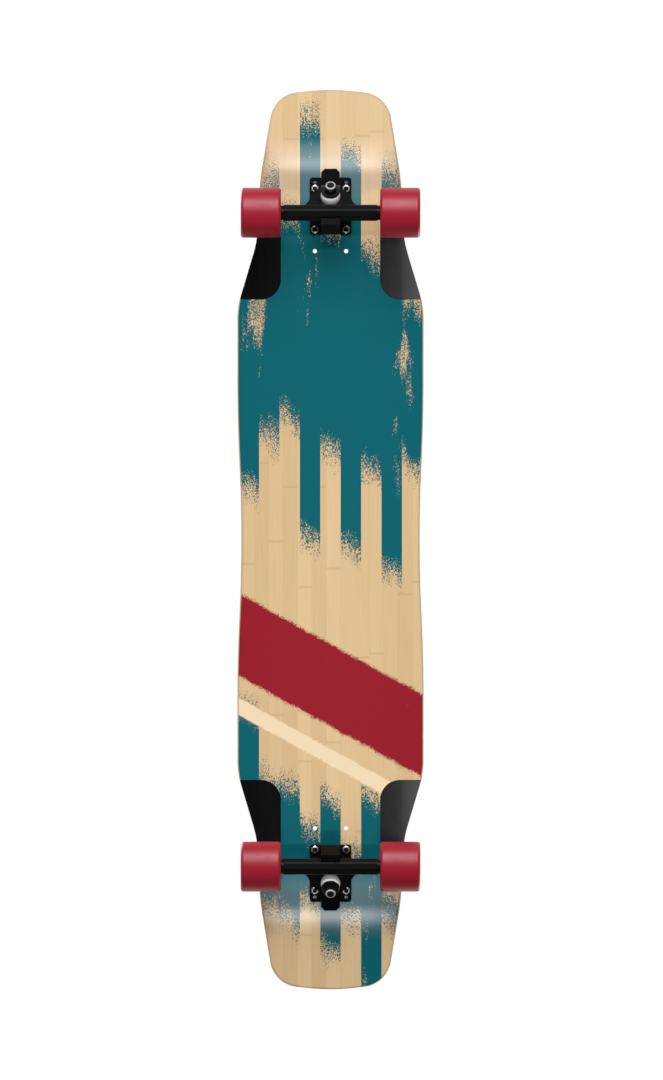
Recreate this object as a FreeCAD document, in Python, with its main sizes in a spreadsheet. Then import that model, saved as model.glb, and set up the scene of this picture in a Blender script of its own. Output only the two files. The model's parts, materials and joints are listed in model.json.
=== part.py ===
import FreeCAD, Part
import os
import re
import Sketcher

# Double-kick longboard skateboard, in millimetres.
# X runs towards the nose, Z is up, and the wheels stand on Z = 0.

doc = FreeCAD.newDocument("longboard")

# Driving sizes, then the sizes that follow from them.
SIZES = [
    # Deck outline in plan, from the waist to the tip: setbacks from the tip and insets from the side.
    ("deck_length", "1190"),
    ("deck_width", "246"),
    ("waist_inset", "5.3"),
    ("waist_run", "104"),
    ("shoulder_setback", "286"),
    ("shoulder_radius", "117"),
    ("pinch_setback", "199"),
    ("pinch_inset", "26.1"),
    ("pinch_radius", "150"),
    ("taper_setback", "121"),
    ("taper_inset", "29.4"),
    ("taper_radius", "350"),
    ("nose_setback", "6.5"),
    ("nose_inset", "48.2"),
    ("nose_radius", "40"),
    ("tip_overrun", "1.5"),
    ("tip_radius", "250"),
    ("tip_margin", "6"),
    # Deck thickness, concave and kicks.
    ("deck_thickness", "11.5"),
    ("veneer_thickness", "1.6"),
    ("grip_thickness", "1"),
    ("rim_radius", "3.5"),
    ("flat_width", "76"),
    ("concave_rise", "6.5"),
    ("kick_setback", "113"),
    ("kick_radius", "150"),
    ("kick_angle", "16"),
    ("plate_overhang", "17"),
    ("layer_overlap", "3"),
    # Wheel wells in the bottom veneer.
    ("well_lead", "113.4"),
    ("well_length", "134"),
    ("well_inner", "66"),
    ("well_radius", "26"),
    # Deck bolts and their holes.
    ("bolt_row_gap", "41.3"),
    ("bolt_span", "53.98"),
    ("long_bolt_span", "63.5"),
    ("bolt_centre", "5.45"),
    ("spare_setback", "28.3"),
    ("bolt_diameter", "4.8"),
    ("deck_hole", "5.6"),
    ("bolt_head", "9.6"),
    ("bolt_head_height", "2.6"),
    ("bolt_socket", "3.2"),
    ("bolt_socket_depth", "1.8"),
    ("bolt_tail", "0.8"),
    ("deck_nut_flats", "9.5"),
    ("deck_nut_height", "6"),
    # Truck setting: the pivot axis rises outboard, the kingpin is square to it.
    ("axle_setback", "163.6"),
    ("truck_height", "66"),
    ("pivot_angle", "40"),
    ("axle_offset", "8"),
    ("ring_reach", "27"),
    # Baseplate.
    ("plate_width", "55"),
    ("plate_inboard", "28.2"),
    ("plate_outboard", "47.5"),
    ("plate_thickness", "7"),
    ("plate_corner", "4"),
    ("tongue_width", "24.5"),
    ("tongue_end", "59"),
    ("tongue_chamfer", "4.6"),
    ("arm_width", "25"),
    ("boss_radius", "15"),
    ("housing_radius", "11.5"),
    ("housing_floor", "2"),
    ("slot_width", "12"),
    ("slot_depth", "1"),
    # Hanger.
    ("hanger_width", "150"),
    ("bar_size", "21"),
    ("bar_edge", "2.5"),
    ("bar_flank", "62"),
    ("bar_end_radius", "9.6"),
    ("yoke_thickness", "13"),
    ("yoke_waist", "54"),
    ("yoke_blend", "20"),
    ("yoke_corner", "6"),
    ("yoke_tip", "30"),
    ("yoke_end", "17.5"),
    ("ring_radius", "17"),
    ("ring_height", "12.5"),
    ("ring_web", "10"),
    ("ring_hole", "7.6"),
    ("stem_length", "7.5"),
    ("stem_root_radius", "7"),
    ("stem_tip_radius", "5"),
    ("stem_tip_bevel", "2"),
    ("pivot_gap", "1.5"),
    ("cup_wall", "1.2"),
    ("cup_floor", "1.4"),
    # Kingpin, its nut, washers and bushings.
    ("kingpin_diameter", "9.5"),
    ("kingpin_head", "6"),
    ("kingpin_flats", "14.3"),
    ("kingpin_bevel", "0.3"),
    ("kingpin_seat", "33"),
    ("kingpin_tail", "2.5"),
    ("kingpin_nut_height", "9.5"),
    ("bushing_diameter", "26.6"),
    ("board_bushing_height", "15"),
    ("road_bushing_height", "14"),
    ("road_bushing_small", "22"),
    ("bushing_chamfer", "1.2"),
    ("washer_diameter", "28"),
    ("road_washer_diameter", "24"),
    ("washer_thickness", "2.5"),
    ("washer_rim", "1.2"),
    # Axle and its stack of bearings.
    ("axle_diameter", "7.94"),
    ("axle_tail", "1"),
    ("axle_chamfer", "0.8"),
    ("axle_nut_flats", "12.7"),
    ("axle_nut_height", "8"),
    ("speed_washer", "1"),
    ("speed_washer_diameter", "12.4"),
    ("spacer_length", "10"),
    ("spacer_diameter", "10.8"),
    ("bearing_bore", "8"),
    ("bearing_diameter", "22"),
    ("bearing_width", "7"),
    ("ball_diameter", "3.969"),
    ("ball_pitch", "15"),
    ("groove_play", "0.1"),
    ("inner_land", "11.8"),
    ("outer_land", "18.4"),
    ("cage_width", "5"),
    ("cage_wall", "1"),
    ("shield_thickness", "0.4"),
    ("shield_inset", "0.3"),
    ("shield_play", "0.4"),
    # Locknut shape: heights as shares of the nut's height, widths of its flats.
    ("nut_bevel_height", "0.08"),
    ("nut_hex_height", "0.66"),
    ("nut_neck_height", "0.74"),
    ("nut_collar_height", "0.76"),
    ("nut_crown_height", "0.96"),
    ("nut_bevel_width", "0.96"),
    ("nut_collar_width", "0.9"),
    ("nut_crown_width", "0.86"),
    ("nut_top_width", "0.76"),
    # Wheels.
    ("wheel_diameter", "66"),
    ("wheel_width", "53"),
    ("wheel_offset", "4"),
    ("wheel_edge", "4"),
    ("lip_width", "6"),
    ("lip_edge", "1"),
    ("core_diameter", "40"),
    ("core_lip", "1"),
    ("core_land", "19.4"),
    # Clearances: a fixed fit, a running fit and a gap between moving pieces.
    ("fixed_fit", "0.05"),
    ("seat_gap", "0.1"),
    ("swing_gap", "0.4"),
    # Sizes that follow.
    ("axle_height", "=wheel_diameter / 2"),
    ("wheelbase", "=deck_length - 2 * axle_setback"),
    ("axle_station", "=wheelbase / 2"),
    ("shoulder_station", "=deck_length / 2 - shoulder_setback"),
    ("pinch_station", "=deck_length / 2 - pinch_setback"),
    ("taper_station", "=deck_length / 2 - taper_setback"),
    ("waist_reach", "=shoulder_station - waist_run"),
    ("waist_width", "=deck_width - 2 * waist_inset"),
    ("pinch_width", "=deck_width - 2 * pinch_inset"),
    ("taper_width", "=deck_width - 2 * taper_inset"),
    ("nose_width", "=deck_width - 2 * nose_inset"),
    ("tip_slope", "=atan((nose_setback + tip_overrun) / nose_width * 2)"),
    ("side_slope", "=atan((taper_inset - nose_inset) / (nose_setback - taper_setback))"),
    ("tip_edge", "=nose_width / 2 / cos(tip_slope)"),
    ("nose_reach", "=nose_radius * tan((90 deg - tip_slope - side_slope) / 2)"),
    ("tip_room", "=(tip_edge - nose_reach - tip_margin) / tan(tip_slope)"),
    ("tip_curve", "=min(tip_radius; tip_room)"),
    ("kick_start", "=deck_length / 2 - kick_setback"),
    ("well_start", "=axle_station - well_lead"),
    ("deck_base", "=axle_height + truck_height"),
    ("waist_turn", "=2 * atan((deck_width - waist_width) / 2 / waist_reach)"),
    ("waist_radius", "=waist_reach / sin(waist_turn) / 2"),
    ("rail_run", "=(deck_width - flat_width) / 2"),
    ("concave_radius", "=(rail_run ^ 2 + concave_rise ^ 2) / 2 / concave_rise"),
    ("rail_turn", "=asin((rail_run + plate_overhang) / concave_radius)"),
    ("kick_run", "=deck_length / 2 - kick_start + plate_overhang"),
    ("kick_foot", "=kick_start + kick_radius * sin(kick_angle)"),
    ("kick_lift", "=kick_radius * (1 - cos(kick_angle))"),
    ("deck_top", "=deck_thickness + grip_thickness"),
    ("ring_u", "=ring_reach * cos(pivot_angle) - axle_offset * sin(pivot_angle)"),
    ("ring_z", "=ring_reach * sin(pivot_angle) + axle_offset * cos(pivot_angle)"),
    ("seat_face", "=ring_web / 2 + seat_gap"),
    ("boss_face", "=seat_face + board_bushing_height + washer_thickness"),
    ("road_face", "=seat_face + road_bushing_height"),
    ("nut_face", "=road_face + washer_thickness"),
    ("nut_end", "=nut_face + kingpin_nut_height"),
    ("bar_flat", "=bar_size / 2 * tan(180 / 8)"),
    ("pivot_mouth", "=ring_reach + bar_size / 2 + pivot_gap"),
    ("stem_tip", "=pivot_mouth + stem_length"),
    ("cup_radius", "=stem_root_radius + swing_gap + cup_wall"),
    ("cup_end", "=stem_tip + swing_gap + cup_floor"),
    ("housing_end", "=cup_end + housing_floor"),
    ("plate_base", "=truck_height - plate_thickness"),
    ("outer_row", "=bolt_centre + bolt_span / 2"),
    ("inner_row", "=bolt_centre - bolt_span / 2"),
    ("inner_bearing", "=hanger_width / 2 + speed_washer"),
    ("outer_bearing", "=inner_bearing + bearing_width + spacer_length"),
    ("stack_end", "=outer_bearing + bearing_width + speed_washer"),
    ("axle_end", "=stack_end + axle_nut_height + axle_tail"),
    ("stack_centre", "=(inner_bearing + outer_bearing + bearing_width) / 2"),
    ("wheel_inner", "=stack_centre + wheel_offset - wheel_width / 2"),
    ("wheel_outer", "=wheel_inner + wheel_width"),
    ("core_inner", "=inner_bearing - core_lip"),
    ("core_outer", "=outer_bearing + bearing_width + core_lip"),
    ("lip_radius", "=wheel_diameter / 2 - lip_width"),
    ("groove_radius", "=ball_diameter / 2 + groove_play"),
]

sheet = doc.addObject("Spreadsheet::Sheet", "Dims")
for row, (alias, content) in enumerate(SIZES, 1):
    sheet.set("A%d" % row, alias)
    sheet.set("B%d" % row, content)
    sheet.setAlias("B%d" % row, alias)
doc.recompute()

X_AXIS = FreeCAD.Vector(1, 0, 0)
Y_AXIS = FreeCAD.Vector(0, 1, 0)
Z_AXIS = FreeCAD.Vector(0, 0, 1)
SYMMETRIC = "Symmetric"
ENDS = (("front", 1), ("rear", -1))
SIDES = (("left", 1), ("right", -1))
BALLS = 7
# How close counts as parallel, as the same spot and as upright.
PARALLEL = 0.999
SAME_SPOT = 0.01
UPRIGHT = 0.02


def bound(text):
    """Point the named sizes in an expression at the sheet that holds them."""
    return re.sub(r"[a-z]+_\w+", lambda match: "Dims." + match.group(0), text)


def value(text):
    """Work out an expression of named sizes."""
    number = sheet.evalExpression(bound(text))
    return getattr(number, "Value", number)


def bind(item, **paths):
    """Tie properties of an object to expressions of named sizes."""
    for path, text in paths.items():
        item.setExpression(path, bound(text))


def place(item, x="0", y="0", z="0", axis=None, angle="0"):
    """Tie an object's position, and its turn about one axis, to the sheet."""
    if axis is not None:
        item.Placement = FreeCAD.Placement(FreeCAD.Vector(), FreeCAD.Rotation(axis, value(angle)))
        item.setExpression("Placement.Rotation.Angle", bound(angle))
    for letter, text in (("x", x), ("y", y), ("z", z)):
        item.setExpression("Placement.Base." + letter, bound(text))


def new_body(name):
    return doc.addObject("PartDesign::Body", name)


def datum(body, role):
    """One of a body's own planes or axes."""
    return next(item for item in body.Origin.OriginFeatures if item.Role == role)


def new_sketch(body, role, name, lift="0"):
    """Start a sketch on one of a body's own planes, lifted along its normal."""
    sketch = body.newObject("Sketcher::SketchObject", name)
    sketch.AttachmentSupport = [(datum(body, role), "")]
    sketch.MapMode = "FlatFace"
    sketch.setExpression("AttachmentOffset.Base.z", bound(lift))
    return sketch


def pin(sketch, curve, end, x, y):
    """Hold one point of a sketch curve at the expressions x and y."""
    for kind, text, other in (("DistanceX", x, -2), ("DistanceY", y, -1)):
        if text == "0":
            sketch.addConstraint(Sketcher.Constraint("PointOnObject", curve, end, other))
        else:
            rule = Sketcher.Constraint(kind, curve, end, value(text))
            index = sketch.addConstraint(rule)
            sketch.setExpression("Constraints[%d]" % index, bound(text))


def arc_between(start, end, radius):
    """The short arc of a radius from start to end, turning left."""
    chord = end - start
    rise = (radius ** 2 - (chord.Length / 2) ** 2) ** 0.5
    left = FreeCAD.Vector(-chord.y, chord.x, 0).normalize()
    centre = (start + end) * 0.5 + left * rise
    middle = centre - left * radius
    return Part.Arc(start, middle, end)


def chain(sketch, stations, closed=True):
    """Draw a run of lines and arcs through stations given as expressions.

    A station is (x, y) before a line, or (x, y, turn, radius) before an arc
    that turns left (turn 1) or right (turn -1).
    """
    points = [FreeCAD.Vector(value(s[0]), value(s[1]), 0) for s in stations]
    count = len(stations) if closed else len(stations) - 1
    ends = []
    for i in range(count):
        start, end = points[i], points[(i + 1) % len(points)]
        if len(stations[i]) == 2:
            curve = sketch.addGeometry(Part.LineSegment(start, end), False)
            ends.append((curve, 1, 2))
        elif stations[i][2] > 0:
            radius = stations[i][3]
            curve = sketch.addGeometry(arc_between(start, end, value(radius)), False)
            ends.append((curve, 1, 2))
        else:
            radius = stations[i][3]
            curve = sketch.addGeometry(arc_between(end, start, value(radius)), False)
            ends.append((curve, 2, 1))
    for i, (curve, first, last) in enumerate(ends):
        if i + 1 < count or closed:
            follower, joint, _ = ends[(i + 1) % count]
            sketch.addConstraint(Sketcher.Constraint("Coincident", curve, last, follower, joint))
        pin(sketch, curve, first, stations[i][0], stations[i][1])
        if len(stations[i]) > 2:
            rule = Sketcher.Constraint("Radius", curve, value(stations[i][3]))
            index = sketch.addConstraint(rule)
            sketch.setExpression("Constraints[%d]" % index, bound(stations[i][3]))
    if not closed:
        pin(sketch, ends[-1][0], ends[-1][2], stations[-1][0], stations[-1][1])


def circle(sketch, x, y, radius):
    """Draw a circle whose centre and radius are expressions."""
    centre = FreeCAD.Vector(value(x), value(y), 0)
    curve = sketch.addGeometry(Part.Circle(centre, Z_AXIS, value(radius)), False)
    pin(sketch, curve, 3, x, y)
    index = sketch.addConstraint(Sketcher.Constraint("Radius", curve, value(radius)))
    sketch.setExpression("Constraints[%d]" % index, bound(radius))


def pad(body, sketch, name, length, both=False):
    """Thicken a sketch, upward or evenly to both sides."""
    feature = body.newObject("PartDesign::Pad", name)
    feature.Profile = sketch
    if both:
        feature.SideType = SYMMETRIC
    bind(feature, Length=length)
    sketch.Visibility = False
    return feature


def spin(body, sketch, name, axis, kind="Revolution"):
    """Turn a sketch once around one of its own axes, adding or cutting."""
    feature = body.newObject("PartDesign::" + kind, name)
    feature.Profile = sketch
    feature.ReferenceAxis = (sketch, [axis])
    feature.Angle = 360
    sketch.Visibility = False
    return feature


def drum(body, name, kind, radius, height, **where):
    """Add or cut a cylinder in a body."""
    feature = body.newObject("PartDesign::%sCylinder" % kind, name)
    bind(feature, Radius=radius, Height=height)
    place(feature, **where)
    return feature


def rounded(body, name, radius, chosen):
    """Round the edges of a body's last feature that chosen picks."""
    doc.recompute()
    base = body.Tip
    edges = ["Edge%d" % i for i, edge in enumerate(base.Shape.Edges, 1) if chosen(edge)]
    feature = body.newObject("PartDesign::Fillet", name)
    feature.Base = (base, edges)
    bind(feature, Radius=radius)
    return feature


def along(edge, direction):
    """Whether an edge is straight and runs along a direction."""
    straight = edge.Curve.TypeId == "Part::GeomLine"
    return straight and abs(edge.Curve.Direction.dot(direction)) > PARALLEL


def upright_at(x, y):
    """Pick upright edges by their distances from the two middle planes."""
    spot = (abs(value(x)), abs(value(y)))

    def chosen(edge):
        point = edge.Vertexes[0].Point
        off_x = abs(abs(point.x) - spot[0])
        off_y = abs(abs(point.y) - spot[1])
        return along(edge, Z_AXIS) and max(off_x, off_y) < SAME_SPOT

    return chosen


def turned(name, profile, plane="XZ_Plane", axis="V_Axis"):
    """A piece turned from one profile."""
    body = new_body(name)
    sketch = new_sketch(body, plane, name + "_profile")
    chain(sketch, profile)
    spin(body, sketch, name + "_turn", axis)
    return body


def common(name, base, tool):
    piece = doc.addObject("Part::Common", name)
    piece.Base = base
    piece.Tool = tool
    return piece


def cut(name, base, tool):
    piece = doc.addObject("Part::Cut", name)
    piece.Base = base
    piece.Tool = tool
    return piece


def hexagon(name, flats, bottom, height):
    """An upright hexagon prism, given its width across flats."""
    prism = doc.addObject("Part::Prism", name)
    prism.Polygon = 6
    bind(prism, Circumradius="%s / sqrt(3)" % flats, Height=height)
    place(prism, z=bottom)
    return prism


def hexed(name, blank, flats, bottom, height):
    """A turned blank trimmed to hexagon flats."""
    return common(name, blank, hexagon(name + "_hexagon", flats, bottom, height))


def copy_of(name, original, **where):
    """A further place for a piece that is drawn once."""
    link = doc.addObject("App::Link", name)
    link.LinkedObject = original
    link.LinkTransform = True
    place(link, **where)
    return link


def group(name, pieces):
    """Separate solids that share one name."""
    compound = doc.addObject("Part::Compound", name)
    compound.Links = pieces
    return compound


def on_kingpin(item):
    """Stand a piece in the kingpin's frame: its Z runs up the kingpin to the deck."""
    place(item, x="ring_u", z="ring_z", axis=-Y_AXIS, angle="pivot_angle")
    return item


nodes = []


def node(label, original, **where):
    """Give a piece its place on the board and the name of its file."""
    item = copy_of("node_" + label, original, **where)
    item.Label = label
    nodes.append(item)


# Deck
def outline_prism(name, inset):
    """The deck's outline in plan, drawn in by inset, as a tall prism."""
    half = "deck_width / 2 - %s" % inset
    waist = "waist_width / 2 - %s" % inset
    corners = [
        ("shoulder_station", half, "shoulder_radius"),
        ("pinch_station", "pinch_width / 2 - %s" % inset, "pinch_radius"),
        ("taper_station", "taper_width / 2 - %s" % inset, "taper_radius"),
        ("deck_length / 2 - nose_setback - %s" % inset, "nose_width / 2 - %s" % inset, "nose_radius"),
        ("deck_length / 2 + tip_overrun - %s" % inset, "0", "tip_curve"),
    ]
    bend = "waist_reach / 2"
    level = "%s + waist_radius * (1 - cos(waist_turn))" % waist

    def half_loop(turn):
        """One half of the loop: along the side towards the nose, and round it."""
        def flip(text):
            return text if turn > 0 or text == "0" else "-(%s)" % text

        loop = [
            (flip("waist_reach"), flip("-(%s)" % half)),
        ]
        for x, y, _ in corners:
            loop.append((flip(x), flip("-(%s)" % y) if y != "0" else "0"))
        for x, y, _ in reversed(corners[:-1]):
            loop.append((flip(x), flip(y)))
        loop.append((flip("waist_reach"), flip(half), 1, "waist_radius"))
        loop.append((flip(bend), flip(level), -1, "waist_radius"))
        loop.append((flip("-(%s)" % bend), flip(level), 1, "waist_radius"))
        return loop

    body = new_body(name)
    sketch = new_sketch(body, "XY_Plane", name + "_sketch")
    chain(sketch, half_loop(1) + half_loop(-1))
    pad(body, sketch, name + "_pad", "deck_length / 4", both=True)
    for number, (x, y, radius) in enumerate(corners):
        rounded(body, "%s_corner_%d" % (name, number), radius, upright_at(x, y))
    return body


def bent_plate(name, low, high):
    """A sheet between two heights above the deck's underside, bent as the deck is."""
    def rail(height):
        reach = "flat_width / 2 + (concave_radius - (%s)) * sin(rail_turn)" % height
        rise = "concave_radius - (concave_radius - (%s)) * cos(rail_turn)" % height
        return reach, rise

    low_reach, low_rise = rail(low)
    high_reach, high_rise = rail(high)
    body = new_body(name)
    section = new_sketch(body, "YZ_Plane", name + "_section")
    chain(section, [
        ("-(%s)" % low_reach, low_rise, 1, "concave_radius - (%s)" % low),
        ("-flat_width / 2", low),
        ("flat_width / 2", low, 1, "concave_radius - (%s)" % low),
        (low_reach, low_rise),
        (high_reach, high_rise, -1, "concave_radius - (%s)" % high),
        ("flat_width / 2", high),
        ("-flat_width / 2", high, -1, "concave_radius - (%s)" % high),
        ("-(%s)" % high_reach, high_rise),
    ])
    spine = new_sketch(body, "XZ_Plane", name + "_spine")
    chain(spine, [
        ("0", "0"),
        ("kick_start", "0", 1, "kick_radius"),
        ("kick_foot", "kick_lift"),
        ("kick_foot + kick_run * cos(kick_angle)", "kick_lift + kick_run * sin(kick_angle)"),
    ], closed=False)
    pipe = body.newObject("PartDesign::AdditivePipe", name + "_sweep")
    pipe.Profile = section
    pipe.Spine = spine
    whole = body.newObject("PartDesign::Mirrored", name + "_mirror")
    whole.Originals = [pipe]
    whole.MirrorPlane = (datum(body, "YZ_Plane"), [""])
    body.Tip = whole
    return body


def middle_normal(face):
    """Which way a face points at its middle."""
    low_u, high_u, low_v, high_v = face.ParameterRange
    return face.normalAt((low_u + high_u) / 2, (low_v + high_v) / 2)


def is_wall(face):
    """Whether a deck face is part of its upright edge."""
    return abs(middle_normal(face).z) < UPRIGHT


def rim_edges(solid, upward):
    """The edges where a deck's upright edge meets its upper or its lower face."""
    found = []
    for number, edge in enumerate(solid.Shape.Edges, 1):
        faces = solid.Shape.ancestorsOfType(edge, Part.Face)
        broad = [face for face in faces if not is_wall(face)]
        if len(faces) == 2 and len(broad) == 1:
            if (middle_normal(broad[0]).z > 0) == upward:
                found.append((number, value("rim_radius"), value("rim_radius")))
    return found


outline = outline_prism("deck_outline", "0")
pressing = common("deck_blank", outline, bent_plate("deck_sheet", "0", "deck_thickness"))
for name, upward in (("deck_lower_rim", False), ("deck_upper_rim", True)):
    doc.recompute()
    rim = doc.addObject("Part::Fillet", name)
    rim.Edges = rim_edges(pressing, upward)
    rim.Base = pressing
    pressing = rim

hole_depth = "deck_top + layer_overlap"
bolt_hole = turned("bolt_hole", [
    ("0", "-layer_overlap"),
    ("deck_hole / 2", "-layer_overlap"),
    ("deck_hole / 2", "deck_top - bolt_head_height"),
    ("bolt_head / 2 + fixed_fit", "deck_top"),
    ("bolt_head / 2 + fixed_fit", hole_depth),
    ("0", hole_depth),
])
spare_hole = turned("spare_hole", [
    ("0", "-layer_overlap"),
    ("deck_hole / 2", "-layer_overlap"),
    ("deck_hole / 2", hole_depth),
    ("0", hole_depth),
])
holes = []
for end, toward in ENDS:
    for side, across in SIDES:
        for rank, station, tool in (
            ("outer", "outer_row", bolt_hole),
            ("inner", "inner_row", bolt_hole),
            ("spare_outer", "outer_row - spare_setback", spare_hole),
            ("spare_inner", "inner_row - spare_setback", spare_hole),
        ):
            holes.append(copy_of(
                "hole_%s_%s_%s" % (end, side, rank),
                tool,
                x="%d * (axle_station + %s)" % (toward, station),
                y="%d * bolt_row_gap / 2" % across,
            ))
deck_holes = group("deck_holes", holes)

well = new_body("wheel_well")
well_sketch = new_sketch(well, "XY_Plane", "wheel_well_sketch")
chain(well_sketch, [
    ("-well_length / 2", "well_inner"),
    ("well_length / 2", "well_inner"),
    ("well_length / 2", "deck_width"),
    ("-well_length / 2", "deck_width"),
])
pad(well, well_sketch, "wheel_well_pad", "deck_width", both=True)
rounded(well, "wheel_well_corners", "well_radius", upright_at("well_length / 2", "well_inner"))
wells = []
for end, toward in ENDS:
    middle = "%d * (well_start + well_length / 2)" % toward
    wells.append(copy_of("well_%s_left" % end, well, x=middle))
    wells.append(copy_of("well_%s_right" % end, well, x=middle, axis=X_AXIS, angle="180"))
wheel_wells = group("wheel_wells", wells)

core_top = "deck_thickness - veneer_thickness"
bottom_sheet = bent_plate("bottom_sheet", "-layer_overlap", "veneer_thickness")
bottom_skin = common("bottom_skin", pressing, bottom_sheet)
bottom_routed = cut("bottom_routed", bottom_skin, wheel_wells)
core_skin = common("core_skin", pressing, bent_plate("core_sheet", "veneer_thickness", core_top))
top_sheet = bent_plate("top_sheet", core_top, "deck_thickness + layer_overlap")
top_skin = common("top_skin", pressing, top_sheet)
grip_outline = outline_prism("grip_outline", "rim_radius")
grip_skin = common("grip_skin", grip_outline, bent_plate("grip_sheet", "deck_thickness", "deck_top"))
for label, layer in (
    ("deck_bottom_veneer", bottom_routed),
    ("deck_core", core_skin),
    ("deck_top_veneer", top_skin),
    ("grip_tape", grip_skin),
):
    node(label, cut(label + "_drilled", layer, deck_holes), z="deck_base")

# Deck bolts and nuts, in the truck's frame: X outboard from the axle, Z up.
bolt_top = "truck_height + deck_top"
bolt_end = "plate_base - deck_nut_height - bolt_tail"
bolt_blank = turned("bolt_blank", [
    ("0", bolt_end),
    ("bolt_diameter / 2", bolt_end),
    ("bolt_diameter / 2", "%s - bolt_head_height" % bolt_top),
    ("bolt_head / 2", bolt_top),
    ("0", bolt_top),
])
socket_floor = "%s - bolt_socket_depth" % bolt_top
socket_height = "bolt_socket_depth + layer_overlap"
socket = hexagon("bolt_socket_hexagon", "bolt_socket", socket_floor, socket_height)
deck_bolt = cut("deck_bolt", bolt_blank, socket)


def lock_nut(name, flats, bore, bottom, height, down=True):
    """A hexagon locknut with a round collar at its far end."""
    sign = "-" if down else "+"

    def level(share):
        return "%s %s %s * (%s)" % (bottom, sign, share, height)

    def side(share):
        return "%s / 2 * %s" % (flats, share)

    corner = "%s / sqrt(3)" % flats
    profile = [
        (bore, level("0")),
        (side("nut_bevel_width"), level("0")),
        (corner, level("nut_bevel_height")),
        (corner, level("nut_hex_height")),
        (side("nut_bevel_width"), level("nut_neck_height")),
        (side("nut_collar_width"), level("nut_collar_height")),
        (side("nut_crown_width"), level("nut_crown_height")),
        (side("nut_top_width"), level("1")),
        (bore, level("1")),
    ]
    low = level("1") if down else bottom
    return hexed(name, turned(name + "_blank", profile), flats, low, height)


deck_nut = lock_nut(
    "deck_nut", "deck_nut_flats", "bolt_diameter / 2 + fixed_fit", "plate_base", "deck_nut_height"
)
bolts = []
nuts = []
for row, station in (("outer", "outer_row"), ("inner", "inner_row")):
    for side, across in SIDES:
        spot = {"x": station, "y": "%d * bolt_row_gap / 2" % across}
        bolts.append(copy_of("bolt_%s_%s" % (row, side), deck_bolt, **spot))
        nuts.append(copy_of("nut_%s_%s" % (row, side), deck_nut, **spot))
deck_bolts = group("deck_bolts", bolts)
deck_nuts = group("deck_nuts", nuts)


# Baseplate, in the truck's frame
def in_truck(along_axis, up_kingpin):
    """Where a point of the kingpin's frame lies in the truck's frame."""
    u = "ring_u + (%s) * cos(pivot_angle) - (%s) * sin(pivot_angle)" % (along_axis, up_kingpin)
    z = "ring_z + (%s) * sin(pivot_angle) + (%s) * cos(pivot_angle)" % (along_axis, up_kingpin)
    return u, z


baseplate = new_body("baseplate")
plate_sketch = new_sketch(baseplate, "XY_Plane", "plate_sketch", lift="plate_base")
plate_side = "plate_width / 2"
tongue_side = "tongue_width / 2"
tongue_nose = "tongue_width / 2 - tongue_chamfer"
tongue_neck = "tongue_end - tongue_chamfer"
chain(plate_sketch, [
    ("-plate_inboard", "-" + plate_side),
    ("plate_outboard", "-" + plate_side),
    ("plate_outboard", "-" + tongue_side),
    (tongue_neck, "-" + tongue_side),
    ("tongue_end", "-(%s)" % tongue_nose),
    ("tongue_end", tongue_nose),
    (tongue_neck, tongue_side),
    ("plate_outboard", tongue_side),
    ("plate_outboard", plate_side),
    ("-plate_inboard", plate_side),
])
pad(baseplate, plate_sketch, "plate_pad", "plate_thickness")
rounded(baseplate, "plate_inner_corners", "plate_corner", upright_at("plate_inboard", plate_side))
rounded(baseplate, "plate_outer_corners", "plate_corner", upright_at("plate_outboard", plate_side))
arm_sketch = new_sketch(baseplate, "XZ_Plane", "arm_sketch")
arm_top = "truck_height - plate_thickness / 2"
arm_heel = "(ring_u + plate_inboard - housing_end * cos(pivot_angle)) / sin(pivot_angle)"
chain(arm_sketch, [
    ("-plate_inboard", arm_top),
    in_truck("-housing_end", arm_heel),
    in_truck("-housing_end", "-housing_radius"),
    in_truck("-pivot_mouth", "-housing_radius"),
    in_truck("-pivot_mouth", "housing_radius"),
    in_truck("-boss_radius", "boss_face"),
    in_truck("boss_radius", "boss_face"),
    ("plate_outboard", arm_top),
])
pad(baseplate, arm_sketch, "arm_pad", "arm_width", both=True)
boss_u, boss_z = in_truck("0", "boss_face")
drum(
    baseplate, "boss", "Additive", "boss_radius", "truck_height",
    x=boss_u, z=boss_z, axis=-Y_AXIS, angle="pivot_angle",
)
heel = baseplate.newObject("PartDesign::SubtractiveBox", "heel_face")
bind(heel, Length="truck_height", Width="4 * boss_radius", Height="2 * truck_height")
place(heel, x="-plate_inboard - truck_height", y="-2 * boss_radius", z="ring_z")
for name, along_axis, up_kingpin in (
    ("end_slot", "-housing_end - housing_radius + slot_depth", "-2 * housing_radius"),
    ("road_slot", "-housing_end - housing_radius", "-2 * housing_radius + slot_depth"),
):
    slot = baseplate.newObject("PartDesign::SubtractiveBox", name)
    slot_u, slot_z = in_truck(along_axis, up_kingpin)
    bind(slot, Width="slot_width")
    bind(slot, Length="housing_radius" if name == "end_slot" else "2 * housing_end")
    bind(slot, Height="2 * housing_end" if name == "end_slot" else "housing_radius")
    place(slot, x=slot_u, y="-slot_width / 2", z=slot_z, axis=-Y_AXIS, angle="pivot_angle")
mouth_u, mouth_z = in_truck("-pivot_mouth", "0")
trim = baseplate.newObject("PartDesign::SubtractiveBox", "deck_face")
bind(trim, Length="4 * truck_height", Width="4 * truck_height", Height="2 * truck_height")
place(trim, x="-2 * truck_height", y="-2 * truck_height", z="truck_height")
drum(
    baseplate, "kingpin_bore", "Subtractive", "kingpin_diameter / 2 + fixed_fit", "2 * truck_height",
    x="ring_u", z="ring_z", axis=-Y_AXIS, angle="pivot_angle",
)
head_u, head_z = in_truck("0", "kingpin_seat")
drum(
    baseplate, "head_pocket", "Subtractive", "kingpin_flats / sqrt(3) + swing_gap", "truck_height",
    x=head_u, z=head_z, axis=-Y_AXIS, angle="pivot_angle",
)
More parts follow.
